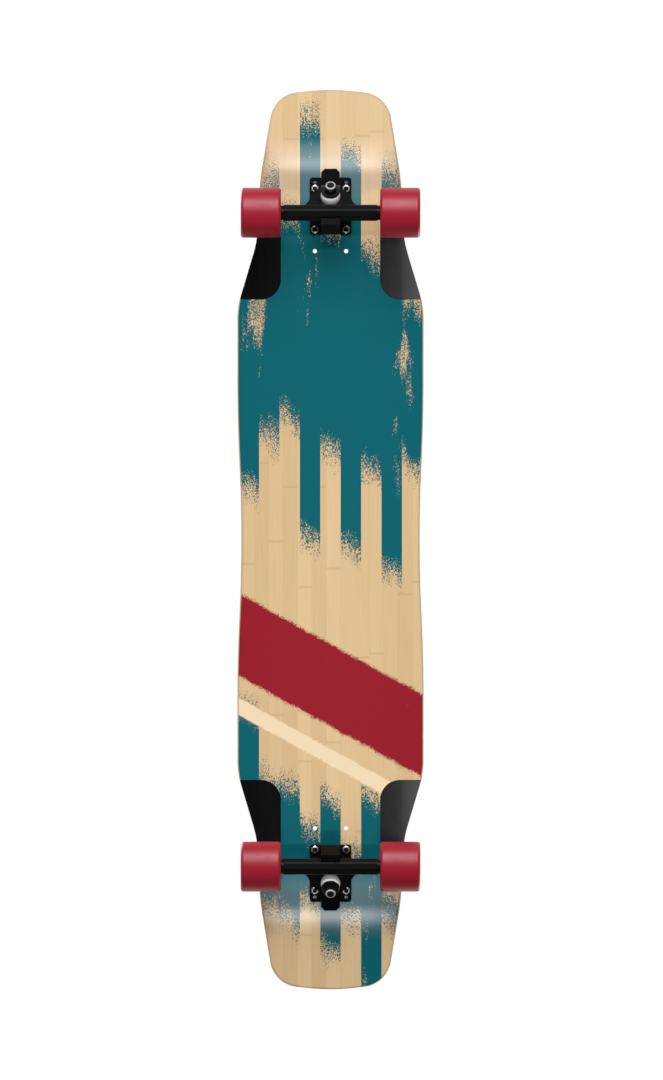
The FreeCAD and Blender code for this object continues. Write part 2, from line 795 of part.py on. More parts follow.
drum(
    baseplate, "cup_bore", "Subtractive", "cup_radius + fixed_fit", "cup_end - pivot_mouth + fixed_fit",
    x=mouth_u, z=mouth_z, axis=-Y_AXIS, angle="90 + pivot_angle",
)
for row in ("outer_row", "inner_row", "inner_row + long_bolt_span"):
    for side, across in SIDES:
        drum(
            baseplate, "plate_hole", "Subtractive", "deck_hole / 2", "2 * plate_thickness",
            x=row, y="%d * bolt_row_gap / 2" % across, z="plate_base - plate_thickness / 2",
        )

# Hanger, in the kingpin's frame: X up the pivot axis, Z up the kingpin
bar_x = "-ring_reach"
bar_z = "-axle_offset"
hanger = new_body("hanger")
bar_sketch = new_sketch(hanger, "XZ_Plane", "bar_sketch")
chain(bar_sketch, [
    ("%s + bar_size / 2" % bar_x, "%s - bar_flat" % bar_z),
    ("%s + bar_size / 2" % bar_x, "%s + bar_flat" % bar_z),
    ("%s + bar_flat" % bar_x, "%s + bar_size / 2" % bar_z),
    ("%s - bar_flat" % bar_x, "%s + bar_size / 2" % bar_z),
    ("%s - bar_size / 2" % bar_x, "%s + bar_flat" % bar_z),
    ("%s - bar_size / 2" % bar_x, "%s - bar_flat" % bar_z),
    ("%s - bar_flat" % bar_x, "%s - bar_size / 2" % bar_z),
    ("%s + bar_flat" % bar_x, "%s - bar_size / 2" % bar_z),
])
pad(hanger, bar_sketch, "bar_pad", "2 * bar_flank", both=True)
rounded(hanger, "bar_edges", "bar_edge", lambda edge: along(edge, Y_AXIS))
drum(
    hanger, "bar_ends", "Additive", "bar_end_radius", "hanger_width",
    x=bar_x, y="-hanger_width / 2", z=bar_z, axis=-X_AXIS, angle="90",
)
yoke_sketch = new_sketch(hanger, "XY_Plane", "yoke_sketch")
bar_face = "%s + bar_size / 2" % bar_x
yoke_root = "yoke_waist / 2 + yoke_blend"
chain(yoke_sketch, [
    (bar_x, "-(%s)" % yoke_root),
    (bar_face, "-(%s)" % yoke_root, -1, "yoke_blend"),
    ("%s + yoke_blend" % bar_face, "-yoke_waist / 2"),
    ("yoke_corner", "-yoke_waist / 2"),
    ("yoke_end", "-yoke_tip / 2"),
    ("yoke_end", "yoke_tip / 2"),
    ("yoke_corner", "yoke_waist / 2"),
    ("%s + yoke_blend" % bar_face, "yoke_waist / 2", -1, "yoke_blend"),
    (bar_face, yoke_root),
    (bar_x, yoke_root),
])
pad(hanger, yoke_sketch, "yoke_pad", "yoke_thickness", both=True)
drum(
    hanger, "ring", "Additive", "ring_radius", "ring_height",
    z="-ring_height / 2",
)
stem_sketch = new_sketch(hanger, "XZ_Plane", "stem_sketch")
chain(stem_sketch, [
    (bar_x, "0"),
    ("-stem_tip", "0"),
    ("-stem_tip", "stem_tip_radius - stem_tip_bevel"),
    ("-stem_tip + stem_tip_bevel", "stem_tip_radius"),
    ("-pivot_mouth", "stem_root_radius"),
    (bar_x, "stem_root_radius + bar_edge"),
])
spin(hanger, stem_sketch, "stem", "H_Axis")
for name, low in (("board_seat", "ring_web / 2"), ("road_seat", "-ring_web / 2 - ring_height")):
    drum(
        hanger, name, "Subtractive", "bushing_diameter / 2 + swing_gap", "ring_height",
        z=low,
    )
drum(
    hanger, "ring_bore", "Subtractive", "ring_hole", "2 * ring_height",
    z="-ring_height",
)
drum(
    hanger, "axle_bore", "Subtractive", "axle_diameter / 2 + fixed_fit", "2 * hanger_width",
    x=bar_x, y="-hanger_width", z=bar_z, axis=-X_AXIS, angle="90",
)
on_kingpin(hanger)

# Kingpin and what it carries
shank = "kingpin_diameter / 2"
kingpin_tip = "nut_end + kingpin_tail"
head_top = "kingpin_seat + kingpin_head"
kingpin_blank = turned("kingpin_blank", [
    ("0", "-(%s)" % kingpin_tip),
    ("%s - axle_chamfer" % shank, "-(%s)" % kingpin_tip),
    (shank, "-(%s) + axle_chamfer" % kingpin_tip),
    (shank, "kingpin_seat"),
    ("kingpin_flats / sqrt(3)", "kingpin_seat"),
    ("kingpin_flats / sqrt(3)", "%s - axle_chamfer" % head_top),
    ("kingpin_flats / 2 - kingpin_bevel", head_top),
    ("0", head_top),
])
kingpin = on_kingpin(hexed(
    "kingpin", kingpin_blank, "kingpin_flats", "-(%s)" % kingpin_tip, "%s + %s" % (kingpin_tip, head_top)
))
bore = "%s + fixed_fit" % shank
kingpin_nut = on_kingpin(lock_nut(
    "kingpin_nut", "kingpin_flats", bore, "-nut_face", "kingpin_nut_height"
))
bushing_bore = "%s + swing_gap" % shank
bushing_side = "bushing_diameter / 2"
board_low = "seat_face"
board_high = "boss_face - washer_thickness"
board_bushing = on_kingpin(turned("board_bushing", [
    (bushing_bore, board_low),
    ("%s - bushing_chamfer" % bushing_side, board_low),
    (bushing_side, "%s + bushing_chamfer" % board_low),
    (bushing_side, "%s - bushing_chamfer" % board_high),
    ("%s - bushing_chamfer" % bushing_side, board_high),
    (bushing_bore, board_high),
]))
road_side = "road_bushing_small / 2"
road_bushing = on_kingpin(turned("road_bushing", [
    (bushing_bore, "-seat_face"),
    ("%s - bushing_chamfer" % bushing_side, "-seat_face"),
    (bushing_side, "-seat_face - bushing_chamfer"),
    (bushing_side, "-seat_face - road_bushing_height / 2"),
    (road_side, "-road_face + bushing_chamfer"),
    ("%s - bushing_chamfer" % road_side, "-road_face"),
    (bushing_bore, "-road_face"),
]))
washer_side = "washer_diameter / 2"
board_washer = on_kingpin(turned("board_washer", [
    (bore, board_high),
    ("%s - washer_rim" % washer_side, board_high),
    (washer_side, "%s + washer_rim" % board_high),
    (washer_side, "boss_face"),
    (bore, "boss_face"),
]))
road_washer_side = "road_washer_diameter / 2"
road_washer = on_kingpin(turned("road_washer", [
    (bore, "-road_face"),
    (road_washer_side, "-road_face"),
    (road_washer_side, "-nut_face + washer_rim"),
    ("%s - washer_rim" % road_washer_side, "-nut_face"),
    (bore, "-nut_face"),
]))
cup_bore = "stem_root_radius + swing_gap"
cup_tip = "stem_tip_radius + swing_gap"
pivot_cup = on_kingpin(turned("pivot_cup", [
    ("-pivot_mouth", cup_bore),
    ("-stem_tip + stem_tip_bevel", cup_tip),
    ("-stem_tip - swing_gap", cup_tip),
    ("-stem_tip - swing_gap", "0"),
    ("-cup_end", "0"),
    ("-cup_end", "cup_radius"),
    ("-pivot_mouth", "cup_radius"),
], axis="H_Axis"))

# Axle and bearings, in the truck's frame; profiles give radius, then place along the axle
axle_side = "axle_diameter / 2"
axle = turned("axle", [
    ("0", "-axle_end"),
    ("%s - axle_chamfer" % axle_side, "-axle_end"),
    (axle_side, "-axle_end + axle_chamfer"),
    (axle_side, "axle_end - axle_chamfer"),
    ("%s - axle_chamfer" % axle_side, "axle_end"),
    ("0", "axle_end"),
], plane="XY_Plane")


def ring(name, inner, outer, low, high):
    """A plain ring around the axle."""
    return turned(name, [(inner, low), (outer, low), (outer, high), (inner, high)], plane="XY_Plane")


def both_sides(name, pieces):
    """Set pieces of the left wheel's stack on both ends of the axle."""
    copies = []
    for side, angle in (("left", "0"), ("right", "180")):
        for number, piece in enumerate(pieces):
            title = "%s_%s_%d" % (name, side, number)
            copies.append(copy_of(title, piece, axis=Z_AXIS, angle=angle))
    return group(name, copies)


axle_bore = "%s + fixed_fit" % axle_side
washer_outer = "speed_washer_diameter / 2"
speed_washers = both_sides("speed_washers", [
    ring("inner_speed_washer", axle_bore, washer_outer, "hanger_width / 2", "inner_bearing"),
    ring("outer_speed_washer", axle_bore, washer_outer, "outer_bearing + bearing_width", "stack_end"),
])
spacers = both_sides("spacers", [
    ring("spacer", axle_bore, "spacer_diameter / 2", "inner_bearing + bearing_width", "outer_bearing"),
])
axle_nut = lock_nut("axle_nut", "axle_nut_flats", axle_bore, "0", "axle_nut_height", down=False)
place(axle_nut, y="stack_end", axis=-X_AXIS, angle="90")
axle_nuts = both_sides("axle_nuts", [axle_nut])


def race(name, inner, outer, low):
    """A bearing race with its ball groove."""
    high = "%s + bearing_width" % low
    body = ring(name, inner, outer, low, high)
    sketch = new_sketch(body, "XY_Plane", name + "_groove_sketch")
    circle(sketch, "ball_pitch / 2", "%s + bearing_width / 2" % low, "groove_radius")
    spin(body, sketch, name + "_groove", "V_Axis", kind="Groove")
    return body


def cage(name, middle):
    """A ring drilled with a pocket for each ball of a bearing."""
    body = ring(
        name,
        "ball_pitch / 2 - cage_wall / 2", "ball_pitch / 2 + cage_wall / 2",
        "%s - cage_width / 2" % middle, "%s + cage_width / 2" % middle,
    )
    pocket = drum(body, name + "_pocket", "Subtractive", "groove_radius", "ball_pitch", y=middle)
    pattern = body.newObject("PartDesign::PolarPattern", name + "_pockets")
    pattern.Originals = [pocket]
    pattern.Axis = (datum(body, "Y_Axis"), [""])
    pattern.Angle = 360
    pattern.Occurrences = BALLS
    body.Tip = pattern
    return body


inner_races = []
outer_races = []
shields = []
ball_sets = []
ball = doc.addObject("Part::Sphere", "ball")
bind(ball, Radius="ball_diameter / 2")
for name, low in (("inner", "inner_bearing"), ("outer", "outer_bearing")):
    middle = "%s + bearing_width / 2" % low
    high = "%s + bearing_width" % low
    inner_races.append(race(name + "_cone", "bearing_bore / 2", "inner_land / 2", low))
    outer_races.append(race(name + "_cup", "outer_land / 2", "bearing_diameter / 2", low))
    shield_inner = "inner_land / 2 + shield_play"
    near = "%s + shield_inset" % low
    far = "%s - shield_inset - shield_thickness" % high
    for place_name, start in (("near", near), ("far", far)):
        shields.append(ring(
            "%s_%s_shield" % (name, place_name),
            shield_inner, "outer_land / 2", start, "%s + shield_thickness" % start,
        ))
    ball_sets.append(cage(name + "_cage", middle))
    for number in range(BALLS):
        turn = "%d * 360 / %d" % (number, BALLS)
        ball_sets.append(copy_of(
            "%s_ball_%d" % (name, number),
            ball,
            x="ball_pitch / 2 * sin(%s)" % turn,
            y=middle,
            z="ball_pitch / 2 * cos(%s)" % turn,
        ))
inner_races = both_sides("inner_races", inner_races)
outer_races = group("outer_races", outer_races)
shields = group("shields", shields)
ball_sets = group("ball_sets", ball_sets)

# Wheel
core_side = "core_diameter / 2"
seat_side = "bearing_diameter / 2 + fixed_fit"
wheel_core = turned("wheel_core", [
    (seat_side, "core_inner"),
    (core_side, "core_inner"),
    (core_side, "core_outer"),
    (seat_side, "core_outer"),
    (seat_side, "outer_bearing"),
    ("core_land / 2", "outer_bearing"),
    ("core_land / 2", "inner_bearing + bearing_width"),
    (seat_side, "inner_bearing + bearing_width"),
], plane="XY_Plane")
tread = "wheel_diameter / 2"
tyre = new_body("tyre")
tyre_sketch = new_sketch(tyre, "XY_Plane", "tyre_profile")
chain(tyre_sketch, [
    (core_side, "core_inner"),
    ("lip_radius - lip_edge", "wheel_inner + lip_edge"),
    ("lip_radius", "wheel_inner"),
    ("%s - wheel_edge" % tread, "wheel_inner", 1, "wheel_edge"),
    (tread, "wheel_inner + wheel_edge"),
    (tread, "wheel_outer - wheel_edge", 1, "wheel_edge"),
    ("%s - wheel_edge" % tread, "wheel_outer"),
    ("lip_radius", "wheel_outer"),
    ("lip_radius - lip_edge", "wheel_outer - lip_edge"),
    (core_side, "core_outer"),
])
spin(tyre, tyre_sketch, "tyre_turn", "V_Axis")

# Two trucks, each with two wheels
for end, toward in ENDS:
    truck = {"x": "%d * axle_station" % toward, "z": "axle_height"}
    turn = {"axis": Z_AXIS, "angle": "0" if toward > 0 else "180"}
    for label, piece in (
        ("baseplate", baseplate),
        ("pivot_cup", pivot_cup),
        ("kingpin", kingpin),
        ("kingpin_nut", kingpin_nut),
        ("boardside_bushing", board_bushing),
        ("roadside_bushing", road_bushing),
        ("boardside_washer", board_washer),
        ("roadside_washer", road_washer),
        ("deck_bolts", deck_bolts),
        ("deck_nuts", deck_nuts),
        ("hanger", hanger),
        ("axle", axle),
        ("inner_races", inner_races),
        ("spacers", spacers),
        ("speed_washers", speed_washers),
        ("axle_nuts", axle_nuts),
    ):
        node("%s_%s" % (end, label), piece, **truck, **turn)
    for side, across in SIDES:
        face = {"axis": Z_AXIS, "angle": "0" if across > 0 else "180"}
        for label, piece in (
            ("tyre", tyre),
            ("wheel_core", wheel_core),
            ("outer_races", outer_races),
            ("bearing_shields", shields),
            ("ball_sets", ball_sets),
        ):
            node("%s_%s_%s" % (end, side, label), piece, **truck, **face)

doc.recompute()
for item in doc.Objects:
    if "Invalid" in item.State or "Error" in item.State:
        raise RuntimeError("%s did not rebuild: %s" % (item.Name, item.State))
os.makedirs("parts", exist_ok=True)
for item in nodes:
    shape = Part.getShape(item)
    if shape.isNull() or not shape.isValid() or not shape.Solids:
        raise RuntimeError("%s has no sound solid" % item.Label)
    shape.exportStep(os.path.join("parts", item.Label + ".step"))
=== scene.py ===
import json
import math

import bmesh
import bpy
from bpy.props import FloatProperty, FloatVectorProperty, IntProperty, PointerProperty
from mathutils import Matrix, Vector


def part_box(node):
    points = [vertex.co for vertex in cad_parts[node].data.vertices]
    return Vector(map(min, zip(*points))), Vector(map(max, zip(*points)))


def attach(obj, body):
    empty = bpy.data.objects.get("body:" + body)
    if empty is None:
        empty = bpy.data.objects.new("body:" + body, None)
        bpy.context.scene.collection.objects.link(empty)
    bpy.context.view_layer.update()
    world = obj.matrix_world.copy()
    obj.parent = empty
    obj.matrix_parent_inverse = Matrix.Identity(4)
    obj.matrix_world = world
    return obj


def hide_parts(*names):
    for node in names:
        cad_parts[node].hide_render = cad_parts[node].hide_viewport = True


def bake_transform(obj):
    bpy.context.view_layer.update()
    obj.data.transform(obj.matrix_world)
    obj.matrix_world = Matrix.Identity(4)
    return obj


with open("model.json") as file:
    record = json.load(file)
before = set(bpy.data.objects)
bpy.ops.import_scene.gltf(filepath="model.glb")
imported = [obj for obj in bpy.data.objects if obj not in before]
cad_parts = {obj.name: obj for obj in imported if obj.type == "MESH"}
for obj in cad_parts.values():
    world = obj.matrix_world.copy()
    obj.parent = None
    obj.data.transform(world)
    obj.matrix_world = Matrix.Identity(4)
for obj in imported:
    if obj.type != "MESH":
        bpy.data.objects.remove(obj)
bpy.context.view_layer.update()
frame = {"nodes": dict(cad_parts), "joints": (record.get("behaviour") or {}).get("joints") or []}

bl_info = {
    "name": "Longboard Dresser",
    "version": (1, 0, 0),
    "blender": (4, 5, 0),
    "location": "3D View > Sidebar > Longboard",
    "description": "Finishes for a double-kick longboard, with its soft and small pieces",
    "category": "Object",
}

NODES = frame["nodes"]
JOINTS = {joint["name"]: joint for joint in frame["joints"]}
ENDS = ("front", "rear")
MM = 0.001


# Sizes and colours that a user would change
def length(name, text, default):
    return FloatProperty(name=name, description=text, default=default, unit="LENGTH", precision=5)


def colour(name, text, default):
    return FloatVectorProperty(
        name=name, description=text, default=default, subtype="COLOR", min=0.0, max=1.0
    )


class LongboardColours(bpy.types.PropertyGroup):
    bamboo: colour("Bamboo", "Palest strip of the face veneer", (0.705, 0.515, 0.290))
    bamboo_shade: colour("Bamboo shade", "Darkest strip of the face veneer", (0.59, 0.405, 0.208))
    ply: colour("Ply", "Plies seen at the deck's edge", (0.58, 0.36, 0.17))
    teal: colour("Teal ink", "Broad worn bands", (0.002, 0.112, 0.138))
    crimson_ink: colour("Crimson ink", "Slanted band", (0.29, 0.012, 0.022))
    cream_ink: colour("Cream ink", "Narrow pale band", (0.83, 0.66, 0.43))
    well_black: colour("Well paint", "Paint in the wheel wells", (0.003, 0.003, 0.0034))
    grit: colour("Grip tape", "Abrasive top sheet", (0.016, 0.016, 0.017))
    casting: colour("Casting coat", "Powder coat of the trucks", (0.0055, 0.0055, 0.006))
    crimson: colour("Wheel urethane", "Cast urethane of the wheels", (0.57, 0.006, 0.034))
    bushing: colour("Bushing urethane", "Cast urethane of the bushings", (0.93, 0.93, 0.91))
    nylon: colour("Nylon", "Lock collars of the kingpin and axle nuts", (0.82, 0.82, 0.80))
    floor: colour("Floor", "Studio floor", (0.86, 0.86, 0.86))


class LongboardSizes(bpy.types.PropertyGroup):
    bushing_radius: length("Bushing radius", "Outer radius of both bushings", 13.3 * MM)
    bushing_waist: length("Bushing shoulder", "How far the shoulders draw in", 0.7 * MM)
    bushing_bore: length("Bushing bore", "Radius of the hole for the kingpin", 5.15 * MM)
    bushing_round: length("Bushing edge", "Rounding of the moulded edges", 1.1 * MM)
    seat: length("Bushing seat", "From the pivot axis to a bushing's foot", 5.1 * MM)
    board_height: length("Boardside height", "Height of the boardside bushing", 15.0 * MM)
    road_height: length("Roadside height", "Height of the roadside bushing", 14.0 * MM)
    road_radius: length("Roadside small radius", "Radius at the roadside washer", 11.0 * MM)
    strip_width: length("Bamboo strip", "Width of one strip of the face veneer", 19.0 * MM)
    segments: IntProperty(
        name="Turning steps", description="Steps round a turned piece", default=96, subtype="UNSIGNED"
    )


# Shader nodes
NOISE_MEAN = 0.5


class Wire:
    """A shader value that can be used in sums."""

    def __init__(self, finish, socket):
        self.finish = finish
        self.socket = socket

    def __add__(self, other):
        return self.finish.math("ADD", self, other)

    __radd__ = __add__

    def __sub__(self, other):
        return self.finish.math("SUBTRACT", self, other)

    def __rsub__(self, other):
        return self.finish.math("SUBTRACT", other, self)

    def __mul__(self, other):
        return self.finish.math("MULTIPLY", self, other)

    __rmul__ = __mul__

    def __truediv__(self, other):
        return self.finish.math("DIVIDE", self, other)

    def __rtruediv__(self, other):
        return self.finish.math("DIVIDE", other, self)

    def __abs__(self):
        return self.finish.math("ABSOLUTE", self)


class Finish:
    """One material and the nodes that make it."""

    def __init__(self, name):
        self.material = bpy.data.materials.new(name)
        self.material.use_nodes = True
        self.tree = self.material.node_tree
        self.tree.nodes.clear()
        self.place = self.node("TexCoord", out="Object")

    @classmethod
    def over(cls, tree):
        """Nodes in a tree that is there already, such as the world's."""
        finish = cls.__new__(cls)
        finish.tree = tree
        tree.nodes.clear()
        return finish

    def node(self, kind, sockets=None, out=0, **settings):
        """Add a node: its type, the values or links of its sockets, the output used, its settings."""
        item = self.tree.nodes.new("ShaderNode" + kind)
        for key, content in settings.items():
            setattr(item, key, content)
        for key, content in (sockets or {}).items():
            if isinstance(content, Wire):
                self.tree.links.new(content.socket, item.inputs[key])
            else:
                item.inputs[key].default_value = content
        return Wire(self, item.outputs[out]) if len(item.outputs) else item

    def math(self, operation, *values):
        return self.node("Math", dict(enumerate(values)), operation=operation)

    def least(self, first, second):
        return self.math("MINIMUM", first, second)

    def most(self, first, second):
        return self.math("MAXIMUM", first, second)

    def clamp(self, level, limit=1.0):
        """A value kept between 0 and a limit."""
        return self.node("Clamp", {"Value": level, "Max": limit})

    def xyz(self):
        """The three Object coordinates."""
        split = self.node("SeparateXYZ", {0: self.place}).socket.node
        return [Wire(self, output) for output in split.outputs]

    def step(self, level, low, high):
        """A smooth step from 0 at low to 1 at high."""
        return self.node(
            "MapRange", {"Value": level, "From Min": low, "From Max": high}, out="Result",
            interpolation_type="SMOOTHSTEP",
        )

    def chance(self, number):
        """A random share that hangs on a number alone."""
        return self.node("TexWhiteNoise", {"W": number}, out="Value", noise_dimensions="1D")

    def noise(self, scale, stretch=(1.0, 1.0, 1.0), detail=3.0, rough=0.55, shift=(0.0, 0.0, 0.0)):
        """Noise that can be drawn out along the axes."""
        spot = self.node("Mapping", {"Vector": self.place, "Scale": stretch, "Location": shift})
        return self.node(
            "TexNoise", {"Vector": spot, "Scale": scale, "Detail": detail, "Roughness": rough}, out="Fac"
        )

    def vary(self, level, *swings):
        """A level that each noise of the pairs (noise, swing) moves up and down."""
        for noise, swing in swings:
            level = (noise - NOISE_MEAN) * swing + level
        return level

    def mix(self, share, first, second):
        """Mix two colours."""
        first, second = [c if isinstance(c, Wire) else (*c, 1.0) for c in (first, second)]
        return self.node("Mix", {0: share, 6: first, 7: second}, out=2, data_type="RGBA")

    def bump(self, height, strength, distance):
        return self.node(
            "Bump", {"Height": height, "Strength": strength, "Distance": distance}, out="Normal"
        )

    def shader(self, base, rough, metal=0.0, coat=0.0, normal=None, **fixed):
        """Join colour, roughness and bump; the fixed values are sockets of the shader."""
        sockets = {"Base Color": base, "Roughness": rough, "Metallic": metal, "Coat Weight": coat}
        if normal is not None:
            sockets["Normal"] = normal
        for key, content in fixed.items():
            sockets[key.replace("_", " ")] = content
        return self.node("BsdfPrincipled", sockets)

    def output(self, shader):
        """Make a shader the material's surface."""
        self.node("OutputMaterial", {"Surface": shader})
        return self.material

    def surface(self, *inputs, **fixed):
        """A surface of one shader."""
        return self.output(self.shader(*inputs, **fixed))


def scaled(tint, factor):
    """A darker or paler form of a colour."""
    return [part * factor for part in tint]


# Pressed shape of the deck, which its finishes follow
DECK_BASE = 99 * MM
DECK_THICKNESS = 11.5 * MM
VENEER = 1.6 * MM
PLIES = 7
FLAT_HALF = 38 * MM
CONCAVE_WIDTH = 85 * MM
CONCAVE_RISE = 6.5 * MM
CONCAVE_RADIUS = (CONCAVE_WIDTH ** 2 + CONCAVE_RISE ** 2) / 2 / CONCAVE_RISE
KICK_START = 482 * MM
KICK_RADIUS = 150 * MM
KICK_ANGLE = math.radians(16)
KICK_END = KICK_START + KICK_RADIUS * math.sin(KICK_ANGLE)
WELL_MIDDLE = 385 * MM
WELL_HALF = 67 * MM
WELL_INNER = 66 * MM
WELL_CORNER = 26 * MM


def deck_depth(finish, x, y, z):
    """Height above the deck's underside, measured square to the bent sheet."""
    run = abs(x) - KICK_START
    drop = KICK_RADIUS + DECK_BASE - z
    turn = finish.clamp(finish.math("ARCTAN2", run, drop), KICK_ANGLE)
    height = KICK_RADIUS - (run * finish.math("SINE", turn) + drop * finish.math("COSINE", turn))
    side = finish.most(abs(y) - FLAT_HALF, 0.0)
    rest = CONCAVE_RADIUS - height
    return CONCAVE_RADIUS - finish.math("SQRT", side * side + rest * rest)


def well_distance(finish, x, y):
    """Distance outside the nearest wheel well, in plan."""
    lengthwise = finish.most(abs(abs(x) - WELL_MIDDLE) - WELL_HALF + WELL_CORNER, 0.0)
    inward = finish.most(WELL_INNER + WELL_CORNER - abs(y), 0.0)
    return finish.math("SQRT", lengthwise * lengthwise + inward * inward) - WELL_CORNER


# Bamboo, with its seams as shares of a strip and its knuckles as shares of their spacing
STRIP_SHIFT = 20.3
STRIP_TONE = 0.55
MEAN_TONE = 0.15
SEAM_WIDTH = 0.022
SEAM_SHADE = 0.28
SEAM_DARK = 0.62
KNUCKLE_SPACING = 230 * MM
KNUCKLE_SPREAD = 5.0
KNUCKLE_SEED = 7.7
KNUCKLE_RISE = (0.0, 0.004)
KNUCKLE_FALL = (0.010, 0.022)
KNUCKLE_SHADE = 0.26
FIBRE_RELIEF = 0.016 * MM


def bamboo_colour(finish, colours, sizes, x, y):
    """Strips of bamboo along the board, with their knuckles, seams and fibres."""
    across = y / sizes.strip_width + STRIP_SHIFT
    strip = finish.math("FLOOR", across)
    within = finish.math("FRACT", across)
    seam = 1.0 - finish.step(finish.least(within, 1.0 - within), 0.0, SEAM_WIDTH)
    spread = finish.chance(strip + KNUCKLE_SEED) * KNUCKLE_SPREAD
    beat = finish.math("FRACT", x / KNUCKLE_SPACING + spread)
    knuckle = finish.step(beat, *KNUCKLE_RISE) * (1.0 - finish.step(beat, *KNUCKLE_FALL))
    fibre = finish.noise(26.0, stretch=(0.6, 26.0, 1.0), detail=4.0, rough=0.6)
    cloud = finish.noise(7.0, stretch=(0.5, 3.0, 1.0), detail=2.0)
    tone = finish.vary(finish.chance(strip) * STRIP_TONE + MEAN_TONE, (fibre, 0.9), (cloud, 0.5))
    wood = finish.mix(finish.clamp(tone), colours.bamboo, colours.bamboo_shade)
    dark = scaled(colours.bamboo_shade, SEAM_DARK)
    return finish.mix(seam * SEAM_SHADE + knuckle * KNUCKLE_SHADE, wood, dark), fibre


# Print: bands across the board, laid in strokes along it whose ends are uneven and dry
SLANT = 0.55
STROKE = 27 * MM
STROKE_SHIFT = 30.5
NOSE_SEED = 0.37
TAIL_SEED = 5.91
SPECK = (0.32, 0.68)
SPECK_SHARE = 0.72
PATCH = (0.28, 0.72)
THIN = (0.52, 0.70)
INK_FILL = 1.16
INK_THINNING = 3.2
INK_FADE = -0.35
INK_EDGE = (-0.03, 0.05)
INK_DEPTH = (0.35 * MM, 0.60 * MM)
INK_RELIEF = 0.008 * MM
INK_ROUGH = 0.05

# Each band: start and end along the slant, soft edge, wear, seed of its strokes, ink
INK_BANDS = (
    (0.030, 0.500, 0.085, 0.20, NOSE_SEED, "teal"),
    (-0.545, -0.345, 0.075, 0.16, TAIL_SEED, "teal"),
    (-0.250, -0.135, 0.010, 0.0, TAIL_SEED, "crimson_ink"),
    (-0.300, -0.275, 0.006, 0.0, NOSE_SEED, "cream_ink"),
)


def printed_colour(finish, colours, wood, x, y, depth):
    """Bands of ink on the wood, and the ink alone: sound in a band's middle and speckled at its ends."""
    slant = x + y * SLANT
    lane = finish.math("FLOOR", y / STROKE + STROKE_SHIFT)
    speck = finish.noise(600.0, stretch=(0.8, 1.0, 1.0), detail=3.0, rough=0.75)
    patch = finish.noise(30.0, stretch=(0.5, 1.4, 1.0), detail=5.0, rough=0.65, shift=(3.1, 1.7, 0.0))
    cloud = finish.noise(8.0, stretch=(0.5, 2.6, 1.0), detail=4.0, rough=0.6, shift=(0.4, 2.2, 0.0))
    thin = finish.step(cloud, *THIN)
    grain = finish.step(speck, *SPECK) * SPECK_SHARE
    grain = finish.step(patch, *PATCH) * (1.0 - SPECK_SHARE) + grain
    face = 1.0 - finish.step(depth, *INK_DEPTH)
    base = wood
    ink = 0.0
    for low, high, soft, wear, seed, tint in INK_BANDS:
        stroke = (finish.chance(lane + seed) - NOISE_MEAN) * wear
        inside = finish.least(slant - low, high - slant) + stroke
        sound = finish.step(inside, INK_FADE * soft, soft)
        kept = sound * (INK_FILL - thin * (wear * INK_THINNING))
        cover = finish.step(kept - grain, *INK_EDGE) * face
        base = finish.mix(cover, base, getattr(colours, tint))
        ink = cover + ink
    return base, ink


# Printed veneer: a matt face with a band of gloss at each kick
RIM_DEPTH = (0.6 * MM, 1.5 * MM)
RIM_SHADE = 0.55
PAINT_EDGE = (0.2 * MM, 0.5 * MM)
POLISH_START = (410 * MM, 470 * MM)
POLISH_END = (500 * MM, 535 * MM)
MATT_ROUGH = 0.46
MATT_LEVEL = 0.05
GLOSS_ROUGH = 0.33
GLOSS_LEVEL = 0.75

# The bend's mesh has facets, and a bump eases the shading of the first and the last
FACETS = 4
FACET = (KICK_END - KICK_START) / FACETS
FACET_RISE = math.tan(KICK_ANGLE / FACETS / 2) * FACET / 2


def printed_bamboo(colours, sizes):
    """Underside veneer: lacquered bamboo with worn slanting bands of ink."""
    finish = Finish("printed_bamboo")
    x, y, z = finish.xyz()
    depth = deck_depth(finish, x, y, z)
    wood, fibre = bamboo_colour(finish, colours, sizes, x, y)
    base, ink = printed_colour(finish, colours, wood, x, y, depth)
    base = finish.mix(finish.step(depth, *RIM_DEPTH) * RIM_SHADE, base, colours.ply)
    painted = 1.0 - finish.step(well_distance(finish, x, y), *PAINT_EDGE)
    base = finish.mix(painted, base, colours.well_black)
    rough = finish.vary(MATT_ROUGH, (fibre, 0.18)) + ink * INK_ROUGH
    first = finish.clamp((KICK_START + FACET - abs(x)) / FACET)
    last = finish.clamp((abs(x) - KICK_END + FACET) / FACET)
    bend = (first * first + last * last) * -FACET_RISE
    relief = bend + fibre * FIBRE_RELIEF + ink * INK_RELIEF
    normal = finish.bump(relief, strength=1.0, distance=1.0)
    matt = finish.shader(base, rough, normal=normal, Specular_IOR_Level=MATT_LEVEL)
    gloss = finish.shader(base, GLOSS_ROUGH, normal=normal, Specular_IOR_Level=GLOSS_LEVEL)
    polish = finish.step(abs(x), *POLISH_START) * (1.0 - finish.step(abs(x), *POLISH_END))
    return finish.output(finish.node("MixShader", {0: polish * (1.0 - painted), 1: matt, 2: gloss}))


# Ply edge, with its glue lines as shares of a ply
GLUE_WIDTH = (0.02, 0.09)
GLUE_SHADE = 0.6
GLUE_DARK = 0.4
PLY_TONE = 0.7
FIBRE_TONE = 0.5
PAINT_DEPTH = (VENEER + 0.30 * MM, VENEER + 0.45 * MM)
PAINT_PALE = 2.4
PAINT_SHADE = 0.5
PAINT_SMOOTH = 0.16
EDGE_ROUGH = 0.46
EDGE_COAT = 0.12
SCUFF_RELIEF = 0.2


